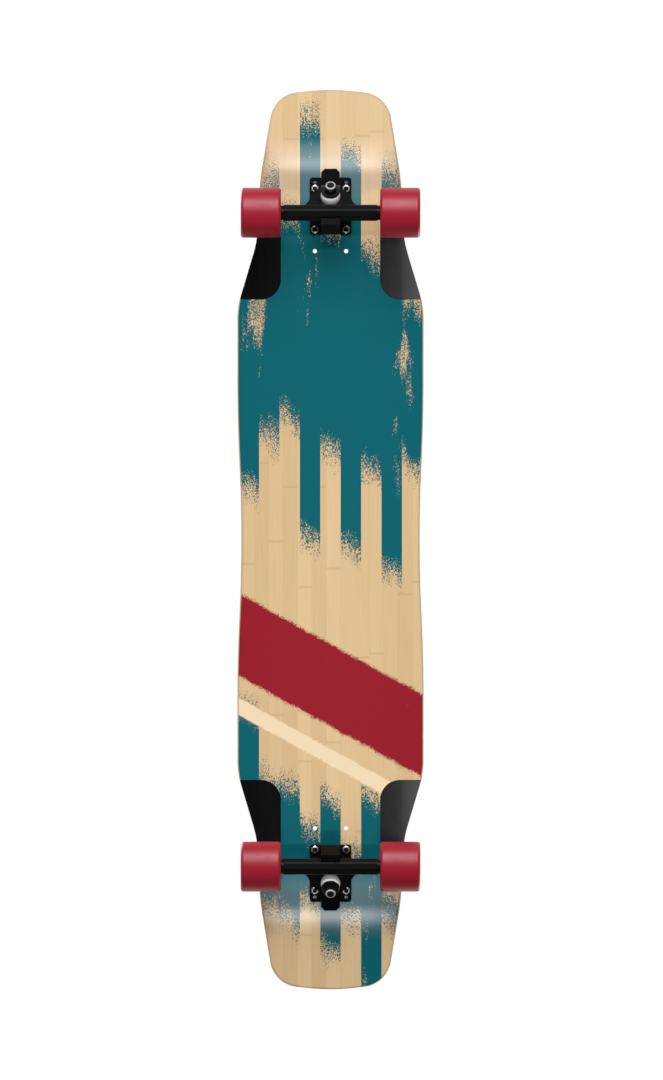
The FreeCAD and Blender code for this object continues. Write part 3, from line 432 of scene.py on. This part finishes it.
def ply_edge(colours):
    """Core and top veneer: ply lines at the edge, paint where the wells bare the core."""
    finish = Finish("ply_edge")
    x, y, z = finish.xyz()
    depth = deck_depth(finish, x, y, z)
    ply = depth / (DECK_THICKNESS / PLIES)
    within = finish.math("FRACT", ply)
    glue = 1.0 - finish.step(finish.least(within, 1.0 - within), *GLUE_WIDTH)
    fibre = finish.noise(60.0, stretch=(0.5, 0.5, 14.0), detail=4.0, rough=0.6)
    tone = finish.chance(finish.math("FLOOR", ply)) * PLY_TONE + fibre * FIBRE_TONE
    wood = finish.mix(finish.least(tone, 1.0), colours.bamboo_shade, colours.ply)
    wood = finish.mix(glue * GLUE_SHADE, wood, scaled(colours.ply, GLUE_DARK))
    scuff = finish.noise(90.0, stretch=(0.4, 1.0, 1.0), detail=4.0)
    worn = scaled(colours.well_black, PAINT_PALE)
    coated = finish.mix(scuff * PAINT_SHADE, colours.well_black, worn)
    paint = 1.0 - finish.step(depth, *PAINT_DEPTH)
    bare = 1.0 - paint
    base = finish.mix(paint, wood, coated)
    rough = finish.vary(EDGE_ROUGH - paint * PAINT_SMOOTH, (scuff, 0.10))
    normal = finish.bump(fibre * bare + scuff * SCUFF_RELIEF, strength=0.12, distance=0.3 * MM)
    return finish.surface(
        base, rough, coat=bare * EDGE_COAT, normal=normal, Coat_Roughness=0.25, Specular_IOR_Level=0.10
    )


# Grip tape
GRAIN_SCALE = 1500.0
GLINT = (0.62, 0.74)
PAINTED_GLINT_SHADE = 0.55
GLINT_SMOOTH = 0.3
RUB = (0.5, 0.8)
RUB_SHADE = 0.16
GRIT_GAIN = 3.4
GRIT_LIFT = 0.02
GRIT_ROUGH = 0.86


def grip_tape(colours):
    """Black abrasive sheet: sharp grains with painted glints, and faint rubbed patches."""
    finish = Finish("grip_tape")
    grain = finish.node("TexVoronoi", {"Vector": finish.place, "Scale": GRAIN_SCALE}, out="Distance")
    painted_glint = finish.step(finish.noise(420.0, detail=4.0, rough=0.7), *GLINT)
    rubbed = finish.step(finish.noise(6.0, stretch=(1.0, 1.6, 1.0)), *RUB)
    pale = [part * GRIT_GAIN + GRIT_LIFT for part in colours.grit]
    # Painted highlight: the glint spots are painted paler in the colour and are also smoother; the rubbed
    # patches are real wear
    base = finish.mix(painted_glint * PAINTED_GLINT_SHADE + rubbed * RUB_SHADE, colours.grit, pale)
    normal = finish.bump(1.0 - grain, strength=0.65, distance=0.4 * MM)
    rough = GRIT_ROUGH - painted_glint * GLINT_SMOOTH
    return finish.surface(base, rough, normal=normal, Specular_IOR_Level=0.22)


# Metal, urethane and plastic finishes
CAST_PALE = 1.9
CAST_ROUGH = 0.36
FLOW_SHADE = 0.5
FLOW_RELIEF = 0.6
SKIN_SHADE = 0.3
METAL_BLOOM = 0.7
MARK_SHADE = 0.3
URETHANE_BLOOM = 0.6
CUP_BLACK = (0.02, 0.02, 0.02)
NYLON_BLACK = (0.02, 0.02, 0.022)
CORE_WHITE = (0.80, 0.79, 0.75)
PLASTIC_DARK = 0.84
CLOUD_SHADE = 0.5
PEBBLE_SHADE = 0.3
WORN = (0.55, 0.75)
WORN_ROUGH = 0.10
WORN_COAT = 0.4
BLEED = (4.0 * MM, 1.5 * MM, 1.2 * MM)

# Each metal: bright colour, dull colour, roughness, metallic share, scale of its marks
METALS = {
    "zinc_plate": ((0.80, 0.80, 0.79), (0.60, 0.60, 0.59), 0.40, 1.0, 240.0),
    "black_oxide": ((0.020, 0.020, 0.022), (0.010, 0.010, 0.011), 0.42, 0.5, 240.0),
    "ground_steel": ((0.62, 0.62, 0.61), (0.46, 0.46, 0.45), 0.24, 1.0, 420.0),
    "bearing_steel": ((0.74, 0.74, 0.74), (0.60, 0.60, 0.61), 0.16, 1.0, 600.0),
    "bearing_shield": ((0.66, 0.66, 0.67), (0.50, 0.50, 0.51), 0.28, 1.0, 500.0),
}

# Each urethane: roughness, coat, how dark its bloom is, specular level
URETHANES = {
    "cup_urethane": (0.5, 0.15, 0.7, 0.2),
    "bushing_urethane": (0.40, 0.2, 0.97, 0.5),
    "wheel_urethane": (0.45, 0.0, 0.72, 0.72),
}

# Each plastic: roughness
PLASTICS = {"white_nylon": 0.45, "dark_nylon": 0.5, "core_plastic": 0.42}


def coated_casting(colours):
    """Black powder coat over a cast skin."""
    finish = Finish("coated_casting")
    skin = finish.noise(650.0)
    flow = finish.noise(45.0, detail=4.0)
    pale = scaled(colours.casting, CAST_PALE)
    base = finish.mix(flow * FLOW_SHADE + skin * SKIN_SHADE, colours.casting, pale)
    rough = finish.vary(CAST_ROUGH, (flow, 0.16), (skin, 0.08))
    normal = finish.bump(skin + flow * FLOW_RELIEF, strength=0.13, distance=0.4 * MM)
    return finish.surface(base, rough, normal=normal, Specular_IOR_Level=0.17)


def plated(name):
    """Plated or ground steel, with fine marks and a dull bloom."""
    bright, dull, rough, metal, scale = METALS[name]
    finish = Finish(name)
    marks = finish.noise(scale, stretch=(1.0, 1.0, 5.0), detail=4.0, rough=0.6)
    bloom = finish.noise(60.0)
    base = finish.mix(bloom * METAL_BLOOM + marks * MARK_SHADE, bright, dull)
    level = finish.vary(rough, (marks, 0.14), (bloom, 0.10))
    normal = finish.bump(marks, strength=0.06, distance=0.3 * MM)
    return finish.surface(base, level, metal=metal, normal=normal)


def cast_urethane(name, tint):
    """Cast urethane: an even body with a faint bloom, scuffed by use."""
    rough, coat, dark, specular = URETHANES[name]
    finish = Finish(name)
    bloom = finish.noise(38.0)
    scuff = finish.noise(300.0, stretch=(1.0, 0.25, 1.0), detail=4.0, rough=0.65)
    worn = finish.step(scuff, *WORN)
    base = finish.mix(bloom * URETHANE_BLOOM, tint, scaled(tint, dark))
    level = finish.vary(rough, (bloom, 0.10)) + worn * WORN_ROUGH
    lacquer = coat * (1.0 - worn * WORN_COAT) if coat else 0.0
    normal = finish.bump(scuff, strength=0.05, distance=0.3 * MM)
    return finish.surface(
        base, level, coat=lacquer, normal=normal, Coat_Roughness=0.40, Specular_IOR_Level=specular,
        Subsurface_Weight=0.08, Subsurface_Radius=BLEED,
    )


def moulded_plastic(name, tint):
    """Moulded plastic with a fine pebble and a slight cloud."""
    finish = Finish(name)
    pebble = finish.noise(520.0)
    cloud = finish.noise(40.0, detail=2.0)
    base = finish.mix(cloud * CLOUD_SHADE + pebble * PEBBLE_SHADE, tint, scaled(tint, PLASTIC_DARK))
    level = finish.vary(PLASTICS[name], (pebble, 0.14))
    normal = finish.bump(pebble, strength=0.08, distance=0.3 * MM)
    return finish.surface(base, level, normal=normal)


def dress(material, *names):
    """Give carried-over solids their finish."""
    for name in names:
        solid = NODES[name]
        if not solid.material_slots:
            solid.data.materials.append(material)
        for slot in solid.material_slots:
            slot.material = material


def named(*endings):
    """The solids whose names end in one of these ways."""
    return [name for name in sorted(NODES) if name.endswith(endings)]


# New pieces
NUT_END = 31.1 * MM
BOLT_ROWS = (409.86 * MM, 463.84 * MM)
BOLT_SIDE = 20.65 * MM
BELLY_ROUND = 3.2 * MM
BELLY_STEPS = 6
EDGE_STEPS = 4
SAME_POINT = 0.002 * MM
SHARP_ANGLE = math.radians(40)

# Each collar: radius of its bore, outer radius, how far it stands out of its nut
KINGPIN_COLLAR = (4.86 * MM, 6.6 * MM, 1.3 * MM)
DECK_COLLAR = (2.46 * MM, 3.3 * MM, 0.3 * MM)
AXLE_COLLAR = (4.04 * MM, 5.1 * MM, 0.45 * MM)
COLLAR_ROOT = 0.4 * MM
COLLAR_ROUNDS = {2: (0.6, 4), 3: (0.2, 2)}


def truck_frame(end):
    """The kingpin's frame: X up the pivot axis, Z up the kingpin to the deck."""
    joint = JOINTS[end + "_steer"]
    axis = Vector(joint["axis"]).normalized()
    across = Vector((0, 1, 0))
    if axis.z < 0:
        axis, across = -axis, -across
    up = axis.cross(across)
    turn = Matrix((axis, across, up)).transposed().to_4x4()
    return Matrix.Translation(Vector(joint["pos_m"])) @ turn


def turned_mesh(profile, rounds, steps):
    """Turn a closed profile of (radius, height) once round Z, and round the rings of some points.

    The rounds give the offset and the segments for the number of a point.
    """
    mesh = bmesh.new()
    ring = mesh.verts.layers.int.new("ring")
    points = []
    for number, (radius, height) in enumerate(profile):
        point = mesh.verts.new((radius, 0, height))
        point[ring] = number
        points.append(point)
    for number, point in enumerate(points):
        mesh.edges.new((point, points[(number + 1) % len(points)]))
    bmesh.ops.spin(
        mesh, geom=mesh.verts[:] + mesh.edges[:], cent=(0, 0, 0), axis=(0, 0, 1),
        angle=math.tau, steps=steps, use_merge=True,
    )
    bmesh.ops.remove_doubles(mesh, verts=mesh.verts, dist=SAME_POINT)
    for number, (offset, segments) in rounds.items():
        edges = [edge for edge in mesh.edges if all(v[ring] == number for v in edge.verts)]
        bmesh.ops.bevel(
            mesh, geom=edges, offset=offset, offset_type="OFFSET", affect="EDGES",
            segments=segments, profile=0.5, material=-1,
        )
    bmesh.ops.recalc_face_normals(mesh, faces=mesh.faces)
    return mesh


def bushing_mesh(sizes, foot, top, tip):
    """A bushing along Z: drawn in at its foot, full in the middle, and of the tip's radius at its top."""
    bore, full = sizes.bushing_bore, sizes.bushing_radius
    drawn = full - sizes.bushing_waist
    middle = (foot + top) / 2
    edge = (sizes.bushing_round, EDGE_STEPS)
    return turned_mesh(
        [(bore, foot), (drawn, foot), (full, middle), (tip, top), (bore, top)],
        {1: edge, 2: (BELLY_ROUND, BELLY_STEPS), 3: edge},
        sizes.segments,
    )


def collar_mesh(shape, matrix, steps):
    """A ring that stands out of a nut's end, which is at Z = 0 and faces up."""
    bore, outer, proud = shape
    mesh = turned_mesh(
        [(bore, -COLLAR_ROOT), (outer, -COLLAR_ROOT), (outer, proud), (bore, proud)],
        {number: (share * proud, segments) for number, (share, segments) in COLLAR_ROUNDS.items()},
        steps,
    )
    bmesh.ops.transform(mesh, matrix=matrix, verts=mesh.verts)
    return mesh


def joined(meshes):
    """Put several meshes into one."""
    whole = bmesh.new()
    for mesh in meshes:
        part = bpy.data.meshes.new("part")
        mesh.to_mesh(part)
        mesh.free()
        whole.from_mesh(part)
        bpy.data.meshes.remove(part)
    return whole


def finished(name, mesh, matrix, material):
    """Make an object of a mesh that is put in its place."""
    bmesh.ops.transform(mesh, matrix=matrix, verts=mesh.verts)
    data = bpy.data.meshes.new(name)
    mesh.to_mesh(data)
    mesh.free()
    for face in data.polygons:
        face.use_smooth = True
    data.set_sharp_from_angle(angle=SHARP_ANGLE)
    data.materials.append(material)
    piece = bpy.data.objects.new(name, data)
    bpy.context.scene.collection.objects.link(piece)
    return piece


# Operators, one for each group of like pieces
class LONGBOARD_OT_deck(bpy.types.Operator):
    """Lacquered and printed veneer, ply edges and grip tape"""

    bl_idname = "longboard.deck"
    bl_label = "Deck"
    bl_options = {"REGISTER", "UNDO"}

    def execute(self, context):
        colours = context.scene.longboard_colours
        dress(printed_bamboo(colours, context.scene.longboard_sizes), "deck_bottom_veneer")
        dress(ply_edge(colours), "deck_core", "deck_top_veneer")
        dress(grip_tape(colours), "grip_tape")
        return {"FINISHED"}


class LONGBOARD_OT_trucks(bpy.types.Operator):
    """Powder coat on baseplates and hangers, urethane in the pivot cups"""

    bl_idname = "longboard.trucks"
    bl_label = "Trucks"
    bl_options = {"REGISTER", "UNDO"}

    def execute(self, context):
        dress(coated_casting(context.scene.longboard_colours), *named("_baseplate", "_hanger"))
        dress(cast_urethane("cup_urethane", CUP_BLACK), *named("_pivot_cup"))
        return {"FINISHED"}


class LONGBOARD_OT_hardware(bpy.types.Operator):
    """Plated, blackened and ground steel of the fasteners and axles"""

    bl_idname = "longboard.hardware"
    bl_label = "Hardware"
    bl_options = {"REGISTER", "UNDO"}

    def execute(self, context):
        dress(plated("zinc_plate"), *named("_deck_nuts", "_axle_nuts", "_speed_washers"))
        dress(plated("black_oxide"), *named("_kingpin", "_kingpin_nut", "_washer", "_deck_bolts"))
        dress(plated("ground_steel"), *named("_axle", "_spacers"))
        return {"FINISHED"}


class LONGBOARD_OT_bushings(bpy.types.Operator):
    """Urethane bushings between the deck and the hanger"""

    bl_idname = "longboard.bushings"
    bl_label = "Bushings"
    bl_options = {"REGISTER", "UNDO"}

    def execute(self, context):
        sizes = context.scene.longboard_sizes
        drawn = sizes.bushing_radius - sizes.bushing_waist
        material = cast_urethane("bushing_urethane", tuple(context.scene.longboard_colours.bushing))
        for end in ENDS:
            matrix = truck_frame(end)
            for side, top, tip in (
                ("boardside", sizes.seat + sizes.board_height, drawn),
                ("roadside", -sizes.seat - sizes.road_height, sizes.road_radius),
            ):
                foot = math.copysign(sizes.seat, top)
                mesh = bushing_mesh(sizes, foot, top, tip)
                name = "%s_%s_urethane" % (end, side)
                piece = finished(name, mesh, matrix, material)
                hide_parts("%s_%s_bushing" % (end, side))
                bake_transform(piece)
        return {"FINISHED"}


class LONGBOARD_OT_collars(bpy.types.Operator):
    """Nylon lock collars in the ends of the nuts"""

    bl_idname = "longboard.collars"
    bl_label = "Lock collars"
    bl_options = {"REGISTER", "UNDO"}

    def execute(self, context):
        white = moulded_plastic("white_nylon", tuple(context.scene.longboard_colours.nylon))
        dark = moulded_plastic("dark_nylon", NYLON_BLACK)
        down = Matrix.Rotation(math.pi, 4, "X")
        steps = context.scene.longboard_sizes.segments // 2
        for end in ENDS:
            tip = truck_frame(end) @ Matrix.Translation((0, 0, -NUT_END)) @ down
            kingpin = [collar_mesh(KINGPIN_COLLAR, tip, steps)]
            hub = Vector(JOINTS[end + "_left_wheel_spin"]["pos_m"])
            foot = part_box(end + "_deck_nuts")[0][2]
            spots = [
                Matrix.Translation((math.copysign(x, hub.x), y, foot)) @ down
                for x in BOLT_ROWS
                for y in (-BOLT_SIDE, BOLT_SIDE)
            ]
            deck = [collar_mesh(DECK_COLLAR, spot, steps) for spot in spots]
            low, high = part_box(end + "_axle_nuts")
            axle = []
            for y, turn in ((high[1], -1), (low[1], 1)):
                outward = Matrix.Rotation(turn * math.pi / 2, 4, "X")
                spot = Matrix.Translation((hub.x, y, hub.z)) @ outward
                axle.append(collar_mesh(AXLE_COLLAR, spot, steps))
            for name, meshes, material, body in (
                ("_kingpin_collar", kingpin, white, "board"),
                ("_deck_collars", deck, dark, "board"),
                ("_axle_collars", axle, white, end + "_hanger_body"),
            ):
                piece = finished(end + name, joined(meshes), Matrix.Identity(4), material)
                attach(piece, body)
        return {"FINISHED"}


class LONGBOARD_OT_wheels(bpy.types.Operator):
    """Crimson urethane on moulded cores"""

    bl_idname = "longboard.wheels"
    bl_label = "Wheels"
    bl_options = {"REGISTER", "UNDO"}

    def execute(self, context):
        crimson = tuple(context.scene.longboard_colours.crimson)
        dress(cast_urethane("wheel_urethane", crimson), *named("_tyre"))
        dress(moulded_plastic("core_plastic", CORE_WHITE), *named("_wheel_core"))
        return {"FINISHED"}


class LONGBOARD_OT_bearings(bpy.types.Operator):
    """Polished races, balls and shields"""

    bl_idname = "longboard.bearings"
    bl_label = "Bearings"
    bl_options = {"REGISTER", "UNDO"}

    def execute(self, context):
        dress(plated("bearing_steel"), *named("_inner_races", "_outer_races", "_ball_sets"))
        dress(plated("bearing_shield"), *named("_bearing_shields"))
        return {"FINISHED"}


# Stage: the photograph looks straight at the underside, nose at the top
PIXEL = 1190.0 / 900.0 * MM
FRAME_HEIGHT = 1080 * PIXEL
SENSOR = 36.0
LENS = 800.0
CLIP_END = 100.0
CAMERA_X = -0.3 * PIXEL
CAMERA_Y = PIXEL
FLOOR_REACH = 40.0
FLOOR_GLOW = 0.5
FLOOR_DARK = 0.97
FLOOR_CLOUD = 0.3
WHITE = (1.0, 1.0, 1.0, 1.0)
BEHIND = (0.15, 0.60)
EVEN_SHARE = 0.16
SOFT_LIGHT = 0.05
MIDDLE = (0.0, 0.0, 0.08)
NOSE_BEND = (0.49, 0.0, 0.1)
TAIL_BEND = (-0.49, 0.0, 0.1)
BEND_STRIP = (0.5, 0.12)

# Each lamp: name, place, point it faces, size, watts, and its limits
LAMPS = (
    ("under_key", (6.0, 0.0, -5.9), MIDDLE, (3.6, 5.0), 455.0, {}),
    ("under_fill", (-4.2, 0.0, -6.4), MIDDLE, (4.0, 3.0), 62.0, {"glossy": False}),
    ("nose_strip", (0.95, 0.0, -2.0), NOSE_BEND, BEND_STRIP, 12.0, {"only": "glossed"}),
    ("tail_strip", (-0.95, 0.0, -2.0), TAIL_BEND, BEND_STRIP, 13.0, {"only": "glossed"}),
    ("well_sheen", (0.0, 3.0, -6.1), MIDDLE, (0.8, 4.0), 900.0, {"diffuse": False, "only": "wells"}),
    ("top_key", (1.6, -2.2, 3.2), MIDDLE, (2.2, 1.8), 120.0, {}),
    ("top_fill", (-1.8, 2.0, 2.4), MIDDLE, (2.4, 2.0), 60.0, {}),
)


def light_groups():
    """The pieces that some lamps light alone."""
    glossed = [NODES[name] for name in ["deck_bottom_veneer", *named("_deck_nuts")]]
    glossed += [bpy.data.objects[end + "_roadside_urethane"] for end in ENDS]
    return {"glossed": glossed, "wells": [NODES["deck_core"]]}


def lamp(name, spot, aim, size, power, diffuse=True, glossy=True, only=()):
    """An oblong area lamp that faces a point; its first side lies along the board's width."""
    data = bpy.data.lights.new(name, "AREA")
    data.shape = "RECTANGLE"
    data.size, data.size_y = size
    data.energy = power
    item = bpy.data.objects.new(name, data)
    item.visible_diffuse = diffuse
    item.visible_glossy = glossy
    if only:
        lit = bpy.data.collections.new(name)
        for node in only:
            lit.objects.link(node)
        item.light_linking.receiver_collection = lit
    back = (Vector(spot) - Vector(aim)).normalized()
    side = Vector((0, 1, 0))
    side = (side - back * back.dot(side)).normalized()
    turn = Matrix((side, back.cross(side), back)).transposed().to_4x4()
    item.matrix_world = Matrix.Translation(Vector(spot)) @ turn
    bpy.context.scene.collection.objects.link(item)


class LONGBOARD_OT_stage(bpy.types.Operator):
    """Pale floor, soft light and the camera"""

    bl_idname = "longboard.stage"
    bl_label = "Stage"
    bl_options = {"REGISTER", "UNDO"}

    def floor(self, colours):
        """A floor that only a camera above it sees, so the underside can be looked at from below."""
        finish = Finish("studio_floor")
        path = finish.node("LightPath", out="Is Camera Ray")
        back = finish.node("NewGeometry", out="Backfacing")
        cloud = finish.noise(0.6, detail=2.0)
        pale = finish.mix(cloud * FLOOR_CLOUD, colours.floor, scaled(colours.floor, FLOOR_DARK))
        paper = finish.node("BsdfDiffuse", {"Color": pale})
        glow = finish.node("Emission", {"Color": pale, "Strength": 1.0})
        paper = finish.node("MixShader", {0: FLOOR_GLOW, 1: paper, 2: glow})
        clear = finish.node("BsdfTransparent")
        shown = finish.node("MixShader", {0: path * (1.0 - back), 1: clear, 2: paper})
        mesh = bmesh.new()
        bmesh.ops.create_grid(mesh, x_segments=1, y_segments=1, size=FLOOR_REACH)
        plane = finished("studio_floor", mesh, Matrix.Identity(4), finish.output(shown))

    def world(self, scene):
        """White behind the board, to the camera and in reflections, and softer as light."""
        scene.world = bpy.data.worlds.new("studio")
        scene.world.use_nodes = True
        finish = Finish.over(scene.world.node_tree)
        path = finish.node("LightPath").socket.node
        camera, even, shiny, clear = [
            Wire(finish, path.outputs["Is %s Ray" % kind])
            for kind in ("Camera", "Diffuse", "Glossy", "Transmission")
        ]
        heading = finish.node("SeparateXYZ", {0: finish.node("TexCoord", out="Generated")}, out="Z")
        bounced = finish.most(shiny, clear) * finish.step(heading, *BEHIND)
        seen = finish.most(finish.most(camera, even * EVEN_SHARE), bounced)
        white = finish.node("Background", {"Color": WHITE, "Strength": 1.0})
        soft = finish.node("Background", {"Color": WHITE, "Strength": SOFT_LIGHT})
        both = finish.node("MixShader", {0: seen, 1: soft, 2: white})
        finish.node("OutputWorld", {"Surface": both})

    def camera(self, scene):
        """A long lens below the board: its right is +Y and its top is +X."""
        data = bpy.data.cameras.new("camera")
        data.sensor_width = SENSOR
        data.lens = LENS
        data.clip_end = CLIP_END
        scene.camera = bpy.data.objects.new("camera", data)
        away = LENS / SENSOR * FRAME_HEIGHT
        look = Matrix((Vector((0, 1, 0)), Vector((1, 0, 0)), Vector((0, 0, -1)))).transposed()
        place = Matrix.Translation((CAMERA_X, CAMERA_Y, DECK_BASE - away))
        scene.camera.matrix_world = place @ look.to_4x4()
        scene.collection.objects.link(scene.camera)

    def execute(self, context):
        self.floor(context.scene.longboard_colours)
        self.world(context.scene)
        groups = light_groups()
        for name, spot, aim, size, power, limits in LAMPS:
            limits = {**limits, "only": groups.get(limits.get("only"), ())}
            lamp(name, spot, aim, size, power, **limits)
        self.camera(context.scene)
        context.scene.view_settings.view_transform = "Standard"
        return {"FINISHED"}


STEPS = (
    LONGBOARD_OT_deck,
    LONGBOARD_OT_trucks,
    LONGBOARD_OT_hardware,
    LONGBOARD_OT_bushings,
    LONGBOARD_OT_collars,
    LONGBOARD_OT_wheels,
    LONGBOARD_OT_bearings,
    LONGBOARD_OT_stage,
)


class LONGBOARD_PT_sidebar(bpy.types.Panel):
    """Lists the steps with the sizes and colours they use"""

    bl_idname = "LONGBOARD_PT_sidebar"
    bl_label = "Longboard"
    bl_space_type = "VIEW_3D"
    bl_region_type = "UI"
    bl_category = "Longboard"

    def draw(self, context):
        for step in STEPS:
            self.layout.operator(step.bl_idname)
        for group in (context.scene.longboard_colours, context.scene.longboard_sizes):
            box = self.layout.box()
            for key in group.bl_rna.properties.keys():
                if key not in {"rna_type", "name"}:
                    box.prop(group, key)


CLASSES = (LongboardColours, LongboardSizes, *STEPS, LONGBOARD_PT_sidebar)


def register():
    for item in CLASSES:
        bpy.utils.register_class(item)
    bpy.types.Scene.longboard_colours = PointerProperty(type=LongboardColours)
    bpy.types.Scene.longboard_sizes = PointerProperty(type=LongboardSizes)


def unregister():
    del bpy.types.Scene.longboard_sizes
    del bpy.types.Scene.longboard_colours
    for item in reversed(CLASSES):
        bpy.utils.unregister_class(item)


def main():
    register()
    bpy.ops.longboard.deck()
    bpy.ops.longboard.trucks()
    bpy.ops.longboard.hardware()
    bpy.ops.longboard.bushings()
    bpy.ops.longboard.collars()
    bpy.ops.longboard.wheels()
    bpy.ops.longboard.bearings()
    bpy.ops.longboard.stage()


if __name__ == "__main__":
    main()
